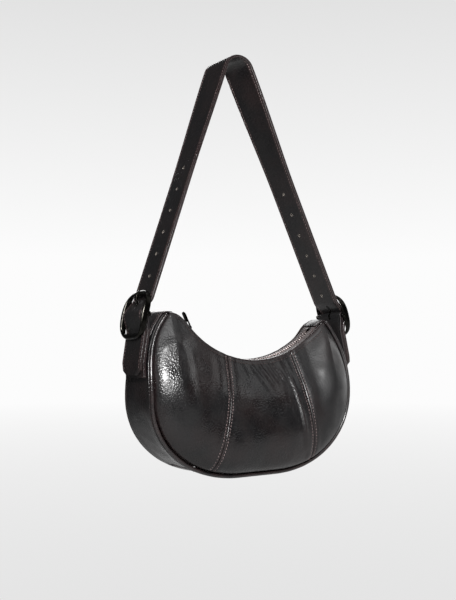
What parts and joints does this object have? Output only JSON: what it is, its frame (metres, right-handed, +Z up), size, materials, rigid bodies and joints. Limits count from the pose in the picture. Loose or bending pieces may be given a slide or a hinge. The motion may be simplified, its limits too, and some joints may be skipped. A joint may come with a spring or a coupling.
{
  "type": "crescent shoulder bag",
  "caption": "Soft crescent leather shoulder bag with a curved top zip, piped gusset and an adjustable punched strap held by pronged buckles on leather chapes",
  "frame": {"origin": "under the middle of the bag's base, at the bottom of the bounding box", "axes": "+Z up along the strap, +X along the bag to the right seen from the front, -Y to the front"},
  "size_m": [0.2692, 0.095, 0.4552],
  "materials": {
    "leather": "glossy very dark brown grained leather",
    "trim_leather": "smooth very dark brown leather",
    "lining": "dark brown woven cloth",
    "zip_tape": "red-brown woven tape",
    "tooth_metal": "dull pale metal",
    "gunmetal": "polished antique gunmetal"
  },
  "bodies": {
    "strap": {"strap_outer": "leather", "strap_backing": "trim_leather", "left_buckle_frame": "gunmetal", "right_buckle_frame": "gunmetal", "left_buckle_bar": "gunmetal", "right_buckle_bar": "gunmetal", "left_chape": "leather", "right_chape": "leather"},
    "bag": {"front_panel_left": "leather", "front_panel_centre": "leather", "front_panel_right": "leather", "back_panel_left": "leather", "back_panel_centre": "leather", "back_panel_right": "leather", "front_lining": "lining", "back_lining": "lining", "gusset_lining": "lining", "front_piping": "trim_leather", "back_piping": "trim_leather", "gusset_left": "leather", "gusset_base": "leather", "gusset_right": "leather", "zip_tape_front": "zip_tape", "zip_tape_back": "zip_tape", "zip_teeth_front": "tooth_metal", "zip_teeth_back": "tooth_metal", "zip_stop_left": "gunmetal", "zip_stop_right": "gunmetal", "zip_end_tab_left": "leather", "zip_end_tab_right": "leather"},
    "zip_slider": {"zip_slider": "gunmetal"},
    "zip_pull": {"zip_pull": "gunmetal"},
    "left_prong": {"left_prong": "gunmetal"},
    "right_prong": {"right_prong": "gunmetal"}
  },
  "joints": [
    {"name": "bag_swing", "type": "hinge", "parent": "strap", "child": "bag", "pos_m": [0, 0, 0.118], "axis": [1, 0, 0], "range_deg": [-25, 25]},
    {"name": "zip_run", "type": "hinge", "parent": "bag", "child": "zip_slider", "pos_m": [0.01, 0, 0.234], "axis": [0, -1, 0], "range_deg": [0, 82]},
    {"name": "pull_flip", "type": "hinge", "parent": "zip_slider", "child": "zip_pull", "pos_m": [-0.06621, 0, 0.15692], "axis": [0, -1, 0], "range_deg": [-152, 18]},
    {"name": "left_prong_lift", "type": "hinge", "parent": "strap", "child": "left_prong", "pos_m": [-0.12523, 0.00316, 0.1697], "axis": [0, -0.9981, 0.0611], "range_deg": [0, 6]},
    {"name": "right_prong_lift", "type": "hinge", "parent": "strap", "child": "right_prong", "pos_m": [0.12523, 0.00316, 0.1697], "axis": [0, 0.9981, -0.0611], "range_deg": [0, 6]}
  ]
}
